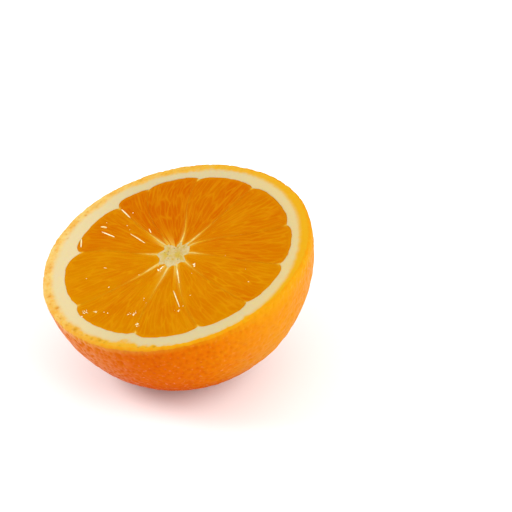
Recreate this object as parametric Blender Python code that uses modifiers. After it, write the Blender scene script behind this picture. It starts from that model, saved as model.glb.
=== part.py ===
"""Half of an orange, cut across its middle and resting on its skin with the cut face up.

Metres, +Z up, -Y towards the viewer. The origin is the middle of the small flat spot that
the fruit rests on. A plain half is turned from a profile. Then its rings and columns are
moved onto the fruit's own segments, membranes, core and skin, it is leaned over, and the
flat spot is cut.
"""

import math

import bpy
import numpy as np
from mathutils import Matrix

# Sizes
FRUIT_RADIUS = 0.038
EDGE_ROUNDING = 0.0006
FLAT_SPOT_RADIUS = 0.009

# How far the cut face leans, in degrees
LEAN_TO_THE_LEFT = 12.5
LEAN_TO_THE_FRONT = 7.8

# Plain radii of the turned half, which the face layout then moves
PLAIN_CORE = 0.005
PLAIN_FLESH = 0.032
SHOULDER = 0.0007

# Relief of the cut face
FLESH_DROP = 0.00035
FLESH_SWELL = 0.00030
MEMBRANE_RISE = 0.00025
MEMBRANE_HALF_WIDTH = 0.00045
PITH_SWELL = 0.00012
CORE_DROP = 0.00040
KNIFE_WAVE = 0.00010

# Relief of the skin
LUMP_HEIGHT = 0.00007
LUMP_SPACING = 0.015
LUMP_WAVES = 24
LUMP_SEED = 5

# Rings and columns
COLUMNS_PER_SEGMENT = 10
CORE_RINGS = 3
FLESH_RINGS = 9
PITH_RINGS = 4
ROUNDING_RINGS = 2
SKIN_RINGS = 25

# Each membrane, going round from the right: its direction at the core, its direction at
# the pith and its bow between the two, in degrees, then how far out the core reaches
# along it and how far out the pith's notch lies, in metres.
MEMBRANES = (
    (25.0, 7.0, -6.5, 0.0047, 0.0313),
    (41.0, 46.0, 2.0, 0.0058, 0.0310),
    (71.0, 78.5, 7.0, 0.0049, 0.0311),
    (117.0, 106.0, 3.0, 0.0046, 0.0313),
    (129.0, 126.0, 0.0, 0.0056, 0.0293),
    (174.0, 169.0, -7.5, 0.0059, 0.0283),
    (217.0, 209.5, 0.0, 0.0065, 0.0309),
    (251.5, 251.5, -2.5, 0.0070, 0.0316),
    (274.0, 282.5, -1.5, 0.0056, 0.0323),
    (302.0, 308.5, 0.0, 0.0061, 0.0320),
    (343.0, 337.5, -2.5, 0.0044, 0.0314),
)

# Each segment, from one membrane to the next: how far out its tip lies at the core and
# how far out its back lies at the pith, in metres.
SEGMENTS = (
    (0.0040, 0.0322),
    (0.0034, 0.0320),
    (0.0026, 0.0324),
    (0.0044, 0.0319),
    (0.0042, 0.0307),
    (0.0050, 0.0315),
    (0.0052, 0.0325),
    (0.0055, 0.0334),
    (0.0049, 0.0333),
    (0.0033, 0.0330),
    (0.0039, 0.0325),
)

COLUMNS = COLUMNS_PER_SEGMENT * len(MEMBRANES)
# Turns the evenly spaced columns of the skin to lie nearest to the membranes
SKIN_TURN = math.radians(11.0)
# Share of the skin's depth over which its columns go from the membranes to even spacing
SKIN_BLEND = 0.6
# Shape of a segment's back and tip: the higher, the squarer its corners
BACK_POWER = 5.0
TIP_POWER = 2.0


def clear_scene():
    for old in list(bpy.data.objects):
        bpy.data.objects.remove(old)


def smooth_step(value):
    value = min(max(value, 0.0), 1.0)
    return value * value * (3.0 - 2.0 * value)


def blend(first, second, share):
    return first + (second - first) * share


# Plain half

def even_steps(start, end, count):
    """Points from start to end, without start itself."""
    return [blend(start, end, (i + 1) / count) for i in range(count)]


def face_radii():
    """Radii of the rings of the cut face, with a shoulder ring inside each edge of the flesh."""
    radii = [0.0]
    radii += even_steps(0.0, PLAIN_CORE, CORE_RINGS)
    radii += [PLAIN_CORE + SHOULDER]
    radii += even_steps(PLAIN_CORE + SHOULDER, PLAIN_FLESH - SHOULDER, FLESH_RINGS)
    radii += [PLAIN_FLESH]
    radii += even_steps(PLAIN_FLESH, FRUIT_RADIUS - EDGE_ROUNDING, PITH_RINGS)
    return radii


def profile():
    """Radius and height from the middle of the cut face, round the edge, to the bottom."""
    points = [(radius, 0.0) for radius in face_radii()]
    for turn in even_steps(0.0, math.pi / 2.0, ROUNDING_RINGS):
        out = FRUIT_RADIUS - EDGE_ROUNDING * (1.0 - math.sin(turn))
        down = -EDGE_ROUNDING * (1.0 - math.cos(turn))
        points.append((out, down))
    first_turn = math.asin(EDGE_ROUNDING / FRUIT_RADIUS)
    for turn in even_steps(first_turn, math.pi / 2.0, SKIN_RINGS):
        points.append((FRUIT_RADIUS * math.cos(turn), -FRUIT_RADIUS * math.sin(turn)))
    points[-1] = (0.0, -FRUIT_RADIUS)
    return points


def turned_half():
    """The profile turned about Z with a Screw, as a mesh."""
    line = bpy.data.meshes.new("half_profile")
    corners = [(radius, 0.0, height) for radius, height in profile()]
    edges = [(i, i + 1) for i in range(len(corners) - 1)]
    line.from_pydata(corners, edges, [])
    turned = bpy.data.objects.new("half_profile", line)
    bpy.context.scene.collection.objects.link(turned)
    screw = turned.modifiers.new("turn", "SCREW")
    screw.axis = "Z"
    screw.steps = COLUMNS
    screw.render_steps = COLUMNS
    screw.use_merge_vertices = True
    screw.merge_threshold = 0.000001
    screw.use_normal_calculate = True
    bpy.context.view_layer.update()
    graph = bpy.context.evaluated_depsgraph_get()
    mesh = bpy.data.meshes.new_from_object(turned.evaluated_get(graph))
    bpy.data.objects.remove(turned)
    bpy.data.meshes.remove(line)
    return mesh


# Layout of the cut face

def membrane_angle(number, radius):
    """Direction of a membrane at this radius, in radians, rising with its number."""
    laps, index = divmod(number, len(MEMBRANES))
    core, pith, bow, _, _ = MEMBRANES[index]
    out = min(max((radius - PLAIN_CORE) / (PLAIN_FLESH - PLAIN_CORE), 0.0), 1.0)
    degrees = blend(core, pith, out) + bow * 4.0 * out * (1.0 - out)
    return math.radians(degrees + 360.0 * laps)


def place_in_segment(column):
    """Segment number, column number in it, and how far across it this column lies."""
    segment, inner = divmod(column, COLUMNS_PER_SEGMENT)
    return segment, inner, inner / COLUMNS_PER_SEGMENT


def edge_between(first, second, middle, across, power):
    """Edge that meets its two ends at first and second and reaches middle between them."""
    ends = blend(first, second, across)
    return blend(ends, middle, 1.0 - abs(2.0 * across - 1.0) ** power)


def core_edge(column):
    segment, _, across = place_in_segment(column)
    first = MEMBRANES[segment][3]
    second = MEMBRANES[(segment + 1) % len(MEMBRANES)][3]
    return edge_between(first, second, SEGMENTS[segment][0], across, TIP_POWER)


def flesh_edge(column):
    segment, _, across = place_in_segment(column)
    first = MEMBRANES[segment][4]
    second = MEMBRANES[(segment + 1) % len(MEMBRANES)][4]
    return edge_between(first, second, SEGMENTS[segment][1], across, BACK_POWER)


def face_radius(plain, column):
    core = core_edge(column)
    flesh = flesh_edge(column)
    if plain <= PLAIN_CORE:
        return plain / PLAIN_CORE * core
    if plain <= PLAIN_FLESH:
        return blend(core, flesh, (plain - PLAIN_CORE) / (PLAIN_FLESH - PLAIN_CORE))
    return blend(flesh, FRUIT_RADIUS, (plain - PLAIN_FLESH) / (FRUIT_RADIUS - PLAIN_FLESH))


def face_angle(radius, plain, column):
    """Columns run along the membranes, with a narrow column on each side of a membrane."""
    segment, inner, _ = place_in_segment(column)
    start = membrane_angle(segment, radius)
    end = membrane_angle(segment + 1, radius)
    even = (end - start) / COLUMNS_PER_SEGMENT
    narrow = min(MEMBRANE_HALF_WIDTH / max(radius, PLAIN_CORE), even)
    into_pith = smooth_step((plain - PLAIN_FLESH) / (FRUIT_RADIUS - PLAIN_FLESH))
    narrow = blend(narrow, even, into_pith)
    if inner == 0:
        return start
    middle_columns = COLUMNS_PER_SEGMENT - 2
    return start + narrow + (end - start - 2.0 * narrow) * (inner - 1) / middle_columns


def knife_wave(x, y):
    """Slow unevenness that the knife left in the cut."""
    return KNIFE_WAVE * math.sin(150.0 * x + 60.0 * y + 0.7) * math.cos(110.0 * y - 50.0 * x)


def flesh_height(out, column):
    """Height of the flesh, where out runs from 0 at the core to 1 at the pith."""
    _, inner, across = place_in_segment(column)
    swell = FLESH_SWELL * 4.0 * across * (1.0 - across) * 4.0 * out * (1.0 - out)
    ridge = MEMBRANE_RISE if inner == 0 else 0.0
    return swell + ridge - FLESH_DROP


def face_height(plain, column):
    if plain < PLAIN_CORE:
        return -blend(CORE_DROP, FLESH_DROP - MEMBRANE_RISE, plain / PLAIN_CORE)
    if plain == PLAIN_CORE:
        return MEMBRANE_RISE - FLESH_DROP
    if plain < PLAIN_FLESH:
        out = (plain - PLAIN_CORE) / (PLAIN_FLESH - PLAIN_CORE)
        return flesh_height(out, column)
    out = (plain - PLAIN_FLESH) / (FRUIT_RADIUS - EDGE_ROUNDING - PLAIN_FLESH)
    return PITH_SWELL * 4.0 * out * (1.0 - out)


# Layout of the skin

def skin_waves():
    """Directions, phases and lengths of the waves whose sum makes the skin lumpy."""
    draw = np.random.RandomState(LUMP_SEED)
    directions = draw.normal(size=(LUMP_WAVES, 3))
    directions /= np.linalg.norm(directions, axis=1)[:, None]
    lengths = LUMP_SPACING * draw.uniform(0.7, 2.4, LUMP_WAVES)
    phases = draw.uniform(0.0, 2.0 * math.pi, LUMP_WAVES)
    return directions * (2.0 * math.pi / lengths)[:, None], phases


def lump(point, waves):
    """Height of the skin above the true sphere at this point."""
    numbers, phases = waves
    total = np.sin(numbers @ np.array(point) + phases).sum()
    return LUMP_HEIGHT * total / math.sqrt(LUMP_WAVES / 2.0)


# Moving the plain half

def face_point(plain, column, waves):
    radius = face_radius(plain, column)
    angle = face_angle(radius, plain, column)
    edge = (FRUIT_RADIUS * math.cos(angle), FRUIT_RADIUS * math.sin(angle), 0.0)
    into_pith = smooth_step((plain - PLAIN_FLESH) / (FRUIT_RADIUS - EDGE_ROUNDING - PLAIN_FLESH))
    radius += lump(edge, waves) * into_pith
    x = radius * math.cos(angle)
    y = radius * math.sin(angle)
    height = face_height(plain, column)
    return x, y, height + knife_wave(x, y) * (1.0 - into_pith)


def skin_point(plain, depth, column, waves):
    """A point of the skin, its columns going from the membranes to an even spacing."""
    at_edge = face_angle(FRUIT_RADIUS, FRUIT_RADIUS, column)
    even = column * 2.0 * math.pi / COLUMNS + SKIN_TURN
    angle = blend(at_edge, even, smooth_step(depth / (SKIN_BLEND * FRUIT_RADIUS)))
    point = (plain * math.cos(angle), plain * math.sin(angle), -depth)
    length = math.hypot(plain, depth)
    grown = (length + lump(point, waves)) / length
    sideways = grown * plain
    return sideways * math.cos(angle), sideways * math.sin(angle), -depth * grown


def move_points(mesh):
    waves = skin_waves()
    step = 2.0 * math.pi / COLUMNS
    rings = face_radii()
    for vertex in mesh.vertices:
        x, y, z = vertex.co
        plain = math.hypot(x, y)
        column = round(math.atan2(y, x) / step) % COLUMNS
        if z > -0.000001:
            radius = min(rings, key=lambda ring: abs(ring - plain))
            vertex.co = face_point(radius, column, waves)
        else:
            vertex.co = skin_point(plain, -z, column, waves)


def lean(mesh):
    """Leans the half about its own middle and lifts it so that the flat spot is at Z = 0."""
    height = math.sqrt(FRUIT_RADIUS ** 2 - FLAT_SPOT_RADIUS ** 2)
    to_the_front = Matrix.Rotation(math.radians(LEAN_TO_THE_FRONT), 4, "X")
    to_the_left = Matrix.Rotation(math.radians(-LEAN_TO_THE_LEFT), 4, "Y")
    mesh.transform(Matrix.Translation((0.0, 0.0, height)) @ to_the_front @ to_the_left)


def new_collection(name):
    collection = bpy.data.collections.new(name)
    bpy.context.scene.collection.children.link(collection)
    return collection


def cut_flat_spot(part):
    """Cuts all that lies below Z = 0 with a box."""
    size = 2.0 * FRUIT_RADIUS
    bpy.ops.mesh.primitive_cube_add(size=size, location=(0.0, 0.0, -size / 2.0))
    cutter = bpy.context.object
    cutter.name = "flat_spot_cutter"
    cutter.users_collection[0].objects.unlink(cutter)
    new_collection("cutters").objects.link(cutter)
    cutter.hide_render = True
    cutter.display_type = "WIRE"
    cut = part.modifiers.new("flat spot", "BOOLEAN")
    cut.operation = "DIFFERENCE"
    cut.solver = "EXACT"
    cut.object = cutter


def orange_material():
    material = bpy.data.materials.new("orange_flesh_and_skin")
    material.use_nodes = True
    shader = material.node_tree.nodes["Principled BSDF"]
    shader.inputs["Base Color"].default_value = (0.88, 0.27, 0.01, 1.0)
    shader.inputs["Roughness"].default_value = 0.35
    return material


def build():
    clear_scene()
    mesh = turned_half()
    mesh.name = "orange_half"
    move_points(mesh)
    lean(mesh)
    mesh.shade_smooth()
    mesh.set_sharp_from_angle(angle=math.radians(40.0))
    part = bpy.data.objects.new("orange_half", mesh)
    new_collection("orange").objects.link(part)
    part.data.materials.append(orange_material())
    cut_flat_spot(part)


build()
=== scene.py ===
"""Half of an orange, cut across its middle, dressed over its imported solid.

The fruit's own frame has +Z along the normal of the cut face, the middle of the whole fruit at
the origin, and +X to the viewer's right. Every piece is worked out there, then leaned and
lifted into the frame of the solid. Lengths are in metres.
"""
import math

import bpy
import numpy as np
from bpy.props import FloatProperty, FloatVectorProperty, PointerProperty
from bpy.types import Operator, Panel, PropertyGroup
from mathutils import Matrix, Vector


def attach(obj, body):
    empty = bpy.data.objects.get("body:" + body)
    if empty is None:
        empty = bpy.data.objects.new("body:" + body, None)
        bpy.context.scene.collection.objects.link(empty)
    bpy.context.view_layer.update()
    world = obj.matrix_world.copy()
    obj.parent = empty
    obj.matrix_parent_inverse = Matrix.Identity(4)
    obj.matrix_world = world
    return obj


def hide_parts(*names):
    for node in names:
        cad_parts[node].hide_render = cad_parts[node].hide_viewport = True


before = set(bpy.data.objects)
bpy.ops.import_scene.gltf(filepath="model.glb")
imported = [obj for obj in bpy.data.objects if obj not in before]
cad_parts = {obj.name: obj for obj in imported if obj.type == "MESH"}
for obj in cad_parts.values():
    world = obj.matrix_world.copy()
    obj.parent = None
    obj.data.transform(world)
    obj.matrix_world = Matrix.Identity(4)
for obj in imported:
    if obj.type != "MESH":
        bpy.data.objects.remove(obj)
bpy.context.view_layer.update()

bl_info = {
    "name": "Orange Half",
    "version": (1, 0, 0),
    "blender": (4, 5, 0),
    "location": "View3D > Sidebar > Orange",
    "description": "Builds half of an orange with its peel, segments, membranes, core and juice",
    "category": "Object",
}

NODE = "orange_half"
MM = 0.001

# Each membrane, going round from the right: its direction at the core, its direction at
# the pith and its bow between the two, in degrees, how far out the core reaches along it
# and how far out the pith's notch lies, in metres, how clearly it shows, from 0 to 1, and
# over what share of its length that fades.
MEMBRANES = np.array((
    (25.0, 7.0, -6.5, 0.0047, 0.0313, 0.30, 0.60),
    (41.0, 46.0, 2.0, 0.0058, 0.0310, 0.60, 0.55),
    (71.0, 78.5, 7.0, 0.0049, 0.0311, 0.60, 0.60),
    (117.0, 106.0, 3.0, 0.0046, 0.0313, 0.15, 0.40),
    (129.0, 126.0, 0.0, 0.0056, 0.0293, 1.00, 0.45),
    (174.0, 169.0, -7.5, 0.0059, 0.0283, 0.50, 0.35),
    (217.0, 209.5, 0.0, 0.0065, 0.0309, 0.75, 0.60),
    (251.5, 251.5, -2.5, 0.0070, 0.0316, 0.80, 0.60),
    (274.0, 282.5, -1.5, 0.0056, 0.0323, 1.00, 0.60),
    (302.0, 308.5, 0.0, 0.0061, 0.0320, 0.35, 0.50),
    (343.0, 337.5, -2.5, 0.0044, 0.0314, 0.50, 0.35),
))

# Each segment, from one membrane to the next: how far out its tip lies at the core and
# how far out its back lies at the pith, in metres, and how deep its colour is, from 0 to 1.
# The deepest, at the top right, are partly painted shade and partly the flesh's own tone.
SEGMENTS = np.array((
    (0.0040, 0.0322, 0.60),
    (0.0034, 0.0320, 0.75),
    (0.0026, 0.0324, 1.00),
    (0.0044, 0.0319, 0.90),
    (0.0042, 0.0307, 0.55),
    (0.0050, 0.0315, 0.20),
    (0.0052, 0.0325, 0.25),
    (0.0055, 0.0334, 0.30),
    (0.0049, 0.0333, 0.30),
    (0.0033, 0.0330, 0.35),
    (0.0039, 0.0325, 0.60),
))

# Radii of the plain face whose layout is moved onto the segments, as in the solid
PLAIN_CORE = 0.005
PLAIN_FLESH = 0.032
BACK_POWER = 5.0
TIP_POWER = 2.0
KNIFE_WAVE = 0.0001

# How far out the white pith reaches every 15 degrees from the right, in millimetres
PITH_REACH = (34.5, 34.8, 35.0, 35.1, 34.9, 34.6, 34.3, 34.8, 35.1, 34.9, 35.2, 35.1,
              35.2, 35.3, 35.6, 35.9, 35.9, 36.3, 37.0, 37.1, 36.9, 36.5, 35.7, 35.0)

# Where the outer peel reaches further in: direction and half width in degrees, and how far
# in millimetres
PEEL_LOBES = ((108.0, 2.5, 0.5), (132.0, 4.0, 0.6), (223.0, 2.5, 0.6), (237.0, 3.0, 0.4),
              (249.5, 4.2, 1.7), (262.5, 1.4, 0.5), (302.5, 1.5, 0.4))

# How yellow the outer peel is every 30 degrees from the right, from 0 to 1.
# Its paler left is partly painted light and partly the peel's own colour.
PEEL_WARMTH = (1.0, 1.0, 0.9, 0.65, 0.25, 0.0, 0.0, 0.20, 0.85, 1.0, 1.0, 1.0)

# Oil glands that stand out on the cut ring: direction in degrees, distance out and half
# width in millimetres, and strength from 0 to 1
RING_GLANDS = (
    (108.5, 36.4, 0.60, 0.6), (123.5, 36.6, 0.80, 0.4), (133.0, 35.6, 0.80, 0.4),
    (140.0, 35.4, 0.40, 0.9), (156.5, 34.6, 0.30, 0.6), (158.2, 37.3, 0.30, 0.7),
    (164.4, 36.3, 0.40, 0.6), (176.3, 36.0, 0.60, 0.8), (191.0, 37.1, 0.40, 0.5),
    (195.4, 36.5, 0.60, 0.9), (204.8, 35.8, 0.60, 1.0), (212.0, 36.9, 0.55, 0.8),
    (217.5, 37.0, 0.50, 0.7), (222.8, 36.6, 0.65, 1.0), (228.0, 37.3, 0.45, 0.8),
    (233.5, 36.9, 0.45, 0.7), (237.5, 36.4, 0.50, 0.9), (247.5, 37.0, 0.50, 0.5),
    (256.0, 37.1, 0.35, 0.7), (262.7, 36.9, 0.40, 0.9), (271.7, 37.2, 0.25, 0.9),
    (278.3, 37.3, 0.25, 0.8), (281.6, 37.2, 0.25, 0.8), (293.0, 37.2, 0.25, 0.6),
)

# How deep the hidden sides of the pieces go below the cut face
PIECE_DEPTH = 0.0028

# Slow lumps of the skin, as in the solid
LUMP_HEIGHT = 0.00007
LUMP_SPACING = 0.015
LUMP_WAVES = 24
LUMP_SEED = 5

# How finely the pieces are divided: points along a side of the skin's square grid, rows
# over the cut ring and round its edge, rows along a segment and the spacing of its columns,
# rows along a membrane, and the core's rows and its columns to a segment
SKIN_SIDE, RING_ROWS, EDGE_ROWS = 257, 24, 3
FLESH_ROWS, FLESH_STEP = 104, 0.000225
MEMBRANE_ROWS = 170
CORE_ROWS, CORE_COLUMNS = 34, 30

# Relief of the cut ring: how far it swells, how deep its glands dip, and how far its inner
# edge drops
RING_SWELL = 0.00012
GLAND_DIP = 0.00013
INNER_DROP = 0.00008

# How far the pieces overlap where they meet, and how high above the flesh its borders stand
OVERLAP = 0.00025
BORDER_RISE = 0.00017

# Pores of the skin: how far they stray as a share of their spacing, the share of places
# that have none, their least and greatest width, and the least strength of one
PORE_STRAY, PORE_GAPS = 0.66, 0.08
PORE_NARROW, PORE_WIDE = 0.00034, 0.00072
PORE_FAINT = 0.35

# Finer pebbles of the skin, and how far a cell pattern's points stray over their squares
PEBBLE_HEIGHT, PEBBLE_SIZE = 0.00009, 0.0017
CELL_SPREAD = 0.85

# Places of the two lights
LEFT_LIGHT = (-0.75, -0.02, 0.66)
RIGHT_LIGHT = (0.80, -0.42, 0.62)


# Sizes, colours and stage that a user may change

def length_property(name, description, value, low=0.0, high=0.002):
    return FloatProperty(
        name=name, description=description, default=value, min=low, max=high, unit="LENGTH")


def angle_property(name, description, degrees):
    return FloatProperty(
        name=name, description=description, default=math.radians(degrees), subtype="ANGLE")


def number_property(name, description, value, unit="NONE"):
    return FloatProperty(name=name, description=description, default=value, min=0.0, unit=unit)


def colour_property(name, description, red, green, blue):
    return FloatVectorProperty(
        name=name, description=description, default=(red, green, blue, 1.0), size=4,
        subtype="COLOR", min=0.0, max=1.0)


class OrangeSizes(PropertyGroup):
    fruit_radius: length_property("Fruit radius", "Radius of the whole fruit", 0.038, 0.02, 0.06)
    flat_spot_radius: length_property(
        "Flat spot radius", "Radius of the flat spot that the fruit rests on", 0.009, 0.002, 0.015)
    edge_rounding: length_property(
        "Edge rounding", "Radius of the cut edge of the skin", 0.0006, 0.0001)
    lean_left: angle_property("Lean to the left", "How far the cut face leans to the left", 12.5)
    lean_front: angle_property("Lean to the front", "How far the cut face leans to the front", 7.8)
    flesh_drop: length_property("Flesh drop", "How far the flesh lies below the pith", 0.00035)
    flesh_swell: length_property("Flesh swell", "How far a segment swells in its middle", 0.0003)
    membrane_rise: length_property(
        "Membrane rise", "How far a membrane stands above the flesh", 0.00025)
    membrane_width: length_property("Membrane width", "Thickness of a membrane", 0.00042, 0.0001)
    sac_width: length_property(
        "Sac width", "Width of a juice sac at the pith", 0.0016, 0.0005, 0.005)
    sac_length: length_property(
        "Sac length", "Length of a juice sac from the pith towards the core", 0.0075, 0.002, 0.02)
    pore_spacing: length_property(
        "Pore spacing", "Distance from one oil gland pore of the skin to the next",
        0.0016, 0.0005, 0.004)
    pore_depth: length_property(
        "Pore depth", "Depth of the deepest pores of the skin", 0.00028, 0.0, 0.001)
    drop_radius: length_property("Drop radius", "Radius of a usual drop of juice", 0.0002, 0.0001)


class OrangeColours(PropertyGroup):
    skin: colour_property("Skin", "Colour of the skin", 0.565, 0.106, 0.001)
    # The lighter skin colour serves both its pale patches and the painted light on the lit sides.
    skin_pale_and_lit: colour_property("Skin, light", "Lighter patches of the skin", 0.590, 0.212, 0.001)
    # The pore colour also paints the shade low down on the skin.
    skin_pore_and_low_shade: colour_property("Skin pore", "Bottoms of the skin's pores", 0.455, 0.050, 0.001)
    zest: colour_property("Zest", "Cut edge of the outer peel", 0.562, 0.285, 0.006)
    zest_pale: colour_property("Pale zest", "Outer peel on the pale side", 0.612, 0.432, 0.130)
    zest_light: colour_property(
        "Light zest", "Blotches of the outer peel on the pale side", 0.600, 0.310, 0.050)
    gland: colour_property("Gland", "Oil glands on the pale side", 0.500, 0.180, 0.004)
    gland_deep: colour_property("Deep gland", "Oil glands on the deep side", 0.340, 0.180, 0.005)
    pith: colour_property("Pith", "White inner peel", 0.483, 0.392, 0.200)
    pith_grey: colour_property(
        "Grey pith", "Duller patches of the inner peel", 0.470, 0.390, 0.215)
    # The paler pith colour is painted light on the left of the cut face.
    pith_pale_lit: colour_property("Pale pith", "Inner peel on the pale side", 0.540, 0.440, 0.235)
    flesh: colour_property("Flesh", "Juice sacs", 0.458, 0.167, 0.000)
    # The deep flesh colour is partly painted shade on the top right segments.
    flesh_deep_and_shade: colour_property("Deep flesh", "Deepest juice sacs", 0.425, 0.087, 0.000)
    sac_wall: colour_property("Sac wall", "Walls of the juice sacs", 0.560, 0.268, 0.003)
    # The juice colours are pale so that the beads show as glints: painted highlights on beads of juice.
    juice: colour_property("Juice", "Beads of juice", 0.720, 0.550, 0.200)
    juice_glint_light: colour_property(
        "Juice, light", "Lighter patches of the beads", 0.880, 0.800, 0.520)
    membrane: colour_property("Membrane", "Skins between the segments", 0.540, 0.370, 0.105)
    core: colour_property("Core", "Spongy middle", 0.425, 0.300, 0.090)
    core_yellow: colour_property(
        "Yellow core", "Yellow patches of the spongy middle", 0.430, 0.285, 0.014)
    vessel: colour_property("Vessel", "Vessel ends in the spongy middle", 0.200, 0.115, 0.025)


class OrangeStage(PropertyGroup):
    floor: colour_property("Floor", "Colour of the floor", 0.95, 0.95, 0.95)
    surroundings: number_property("Surroundings", "Brightness of the pale surroundings", 0.90)
    left_power: number_property("Left power", "Power of the light on the left", 5.5, "POWER")
    right_power: number_property("Right power", "Power of the light on the right", 9.5, "POWER")
    left_size: length_property("Left size", "Side of the light on the left", 0.45, 0.01, 10.0)
    right_size: length_property("Right size", "Side of the light on the right", 1.0, 0.01, 10.0)
    camera_height: angle_property("Camera height", "Angle that the camera looks down by", 33.0)
    camera_radii: number_property(
        "Camera distance", "Distance of the camera in radii of the fruit", 14.0)
    pixels_per_radius: number_property(
        "Pixels per radius", "Size of the fruit in a picture 512 pixels wide", 138.8)
    middle_column: number_property(
        "Middle column", "Column of that picture in which the fruit's middle lies", 175.65)
    middle_row: number_property(
        "Middle row", "Row of that picture in which the fruit's middle lies", 252.1)


# Number work shared by the pieces

def smooth_step(value):
    """0 below 0 and 1 above 1, with an even S between: 3v^2 - 2v^3."""
    value = np.clip(value, 0.0, 1.0)
    return value * value * (3.0 - 2.0 * value)


def blend(first, second, share):
    """First plus a share of the way to second."""
    return first + (second - first) * share


def bump(distance, reach):
    """A soft hill, 1 where the distance is 0 and near 0 past its reach: e^-(d/reach)^2."""
    return np.exp(-(distance / reach) ** 2)


def hashed(first, second, seed):
    """Random numbers from 0 to 1 for pairs of whole numbers.

    Each pair and the seed are multiplied by large odd numbers and added, and the sum's bits
    are folded and multiplied twice more.
    """
    first = np.asarray(first).astype(np.int64).astype(np.uint64)
    second = np.asarray(second).astype(np.int64).astype(np.uint64)
    mask = np.uint64(0xFFFFFFFF)
    mixed = first * np.uint64(374761393) + second * np.uint64(668265263) + np.uint64(seed * 1274126177)
    mixed &= mask
    mixed = ((mixed ^ (mixed >> np.uint64(13))) * np.uint64(1103515245)) & mask
    mixed = ((mixed ^ (mixed >> np.uint64(16))) * np.uint64(2246822519)) & mask
    mixed ^= mixed >> np.uint64(15)
    return mixed.astype(np.float64) / 4294967296.0


def noise(u, v, seed):
    """Smooth unevenness from -1 to 1 over a plane.

    Each corner of the unit grid has a random number. Inside a square the four are blended
    with smooth steps along u and v.
    """
    iu, iv = np.floor(u), np.floor(v)
    su, sv = smooth_step(u - iu), smooth_step(v - iv)
    low = blend(hashed(iu, iv, seed), hashed(iu + 1, iv, seed), su)
    high = blend(hashed(iu, iv + 1, seed), hashed(iu + 1, iv + 1, seed), su)
    return 2.0 * blend(low, high, sv) - 1.0


def space_noise(points, size, seed):
    """Smooth unevenness from -1 to 1 in space.

    Plane noise is read on the x-y, y-z and z-x planes at this size, each slid along by the
    third measure, and the mean of the three is spread to reach about -1 to 1.
    """
    slide = 0.37
    x, y, z = (points / size).T
    total = noise(x, y + slide * z, seed) + noise(y, z + slide * x, seed + 1)
    return (total + noise(z, x + slide * y, seed + 2)) / 1.8


def cells(u, v, seed):
    """Cell pattern over a plane, from one random point in each unit square.

    Gives the distance to the nearest point, how much further off the second nearest is
    (0 on the wall between two cells), and a random tone from 0 to 1 for the nearest.
    """
    iu, iv = np.floor(u), np.floor(v)
    first = np.full(np.shape(u), 9.0)
    second = first.copy()
    tone = np.zeros(np.shape(u))
    for du in (-1, 0, 1):
        for dv in (-1, 0, 1):
            cu, cv = iu + du, iv + dv
            across = cu + 0.5 + CELL_SPREAD * (hashed(cu, cv, seed) - 0.5) - u
            along = cv + 0.5 + CELL_SPREAD * (hashed(cu, cv, seed + 1) - 0.5) - v
            distance = np.hypot(across, along)
            nearer = distance < first
            second = np.where(nearer, first, np.minimum(second, distance))
            tone = np.where(nearer, hashed(cu, cv, seed + 2), tone)
            first = np.minimum(first, distance)
    return first, second - first, tone


# Layout of the cut face, the same as the solid's

def membrane_angle(number, radius):
    """Direction of a membrane at a radius, in radians.

    It goes evenly from its direction at the core to that at the pith, plus its bow times
    a parabola that is 1 halfway. Each whole lap adds a full turn.
    """
    number = np.asarray(number)
    laps, index = np.divmod(number, len(MEMBRANES))
    core, pith, bow = MEMBRANES[index, 0], MEMBRANES[index, 1], MEMBRANES[index, 2]
    out = np.clip((radius - PLAIN_CORE) / (PLAIN_FLESH - PLAIN_CORE), 0.0, 1.0)
    return np.radians(blend(core, pith, out) + bow * 4.0 * out * (1.0 - out) + 360.0 * laps)


def edge_between(segment, across, end_column, middle_column, power):
    """Radius of a segment's edge that meets its two membranes and reaches its own middle.

    Between the two end radii it is bent to the middle radius by 1 - |2t - 1|^power.
    """
    following = (segment + 1) % len(MEMBRANES)
    ends = blend(MEMBRANES[segment, end_column], MEMBRANES[following, end_column], across)
    middle = SEGMENTS[segment, middle_column]
    return blend(ends, middle, 1.0 - np.abs(2.0 * across - 1.0) ** power)


def membrane_clear(number, radius):
    """How clearly a membrane shows at a radius, from 0 to 1.

    Its own clearness fades away over its share of the way out, and it is clear near both
    ends whatever its own is.
    """
    index = np.asarray(number) % len(MEMBRANES)
    first, last, clear, share = (MEMBRANES[index, column] for column in (3, 4, 5, 6))
    fade = blend(1.0, 0.18, smooth_step((radius - first) / (share * (last - first))))
    near_core, near_pith = bump(radius - first, 2.8 * MM), bump(last - radius, 0.8 * MM)
    return np.clip(clear * fade + 0.50 * near_core + 0.55 * near_pith, 0.0, 1.0)


def core_edge(segment, across):
    """Radius of the core's edge: each membrane's own at the sides, the segment's tip between."""
    return edge_between(segment, across, 3, 0, TIP_POWER)


def flesh_edge(segment, across):
    """Radius of the flesh's edge: each membrane's notch at the sides, the segment's back between."""
    return edge_between(segment, across, 4, 1, BACK_POWER)


def segment_at(angle, radius):
    """Segment number and how far across it a direction lies, at this radius."""
    start = membrane_angle(0, radius)
    turned = start + np.mod(angle - start, 2.0 * math.pi)
    borders = np.stack([membrane_angle(number, radius) * np.ones_like(turned)
                        for number in range(len(MEMBRANES) + 1)])
    segment = np.clip((turned[None] >= borders).sum(axis=0) - 1, 0, len(MEMBRANES) - 1)
    low = np.take_along_axis(borders, segment[None], 0)[0]
    high = np.take_along_axis(borders, segment[None] + 1, 0)[0]
    return segment, (turned - low) / (high - low)


def knife_wave(x, y):
    """Slow unevenness that the knife left, as in the solid: one sine times one cosine."""
    return KNIFE_WAVE * np.sin(150.0 * x + 60.0 * y + 0.7) * np.cos(110.0 * y - 50.0 * x)


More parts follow.
